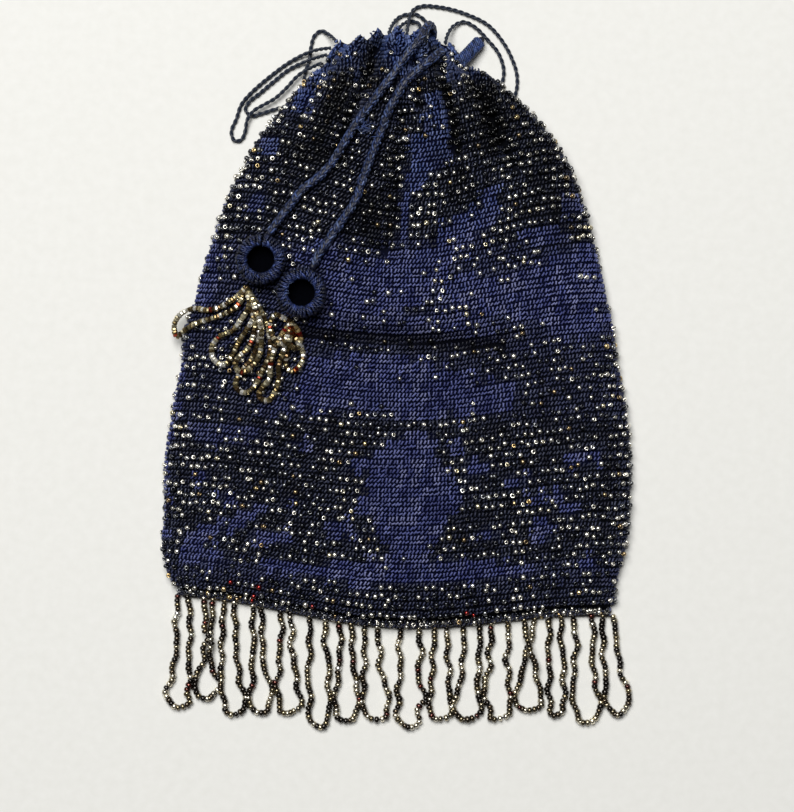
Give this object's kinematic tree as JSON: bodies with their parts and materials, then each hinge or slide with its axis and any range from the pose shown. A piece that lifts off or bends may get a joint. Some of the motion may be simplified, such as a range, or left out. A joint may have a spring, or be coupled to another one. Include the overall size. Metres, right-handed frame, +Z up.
{
  "type": "beaded drawstring purse",
  "caption": "Crocheted drawstring purse lying flat, with a gathered neck, twisted handle cords, cord-end cups with bead tassels, a covered toggle and a looped bead fringe.",
  "frame": {"origin": "a point of the flat back where the purse rests on the table, near the middle of the bag", "axes": "+Y along the purse from the fringed hem to the gathered mouth, +X across it to the right as seen from above, +Z up, out of the front"},
  "size_m": [0.1931, 0.2985, 0.0299],
  "materials": {
    "navy_cotton": "crocheted mercerised cotton with dark glass seed beads",
    "dark_cotton": "two-ply twisted cotton cord",
    "bronze_beads": "opaque dark bronze lustre seed beads",
    "brass_beads": "opaque gilt cut seed beads"
  },
  "bodies": {
    "root": {"bag": "navy_cotton", "fringe": "bronze_beads", "cup_left": "navy_cotton", "cup_right": "navy_cotton", "tassel_left": "brass_beads", "tassel_right": "brass_beads", "toggle": "navy_cotton", "drawcord_left": "navy_cotton", "drawcord_right": "navy_cotton", "handle_cord_left": "dark_cotton", "handle_cord_middle": "dark_cotton", "handle_cord_right": "dark_cotton", "handle_cord_arches": "dark_cotton"}
  },
  "joints": []
}
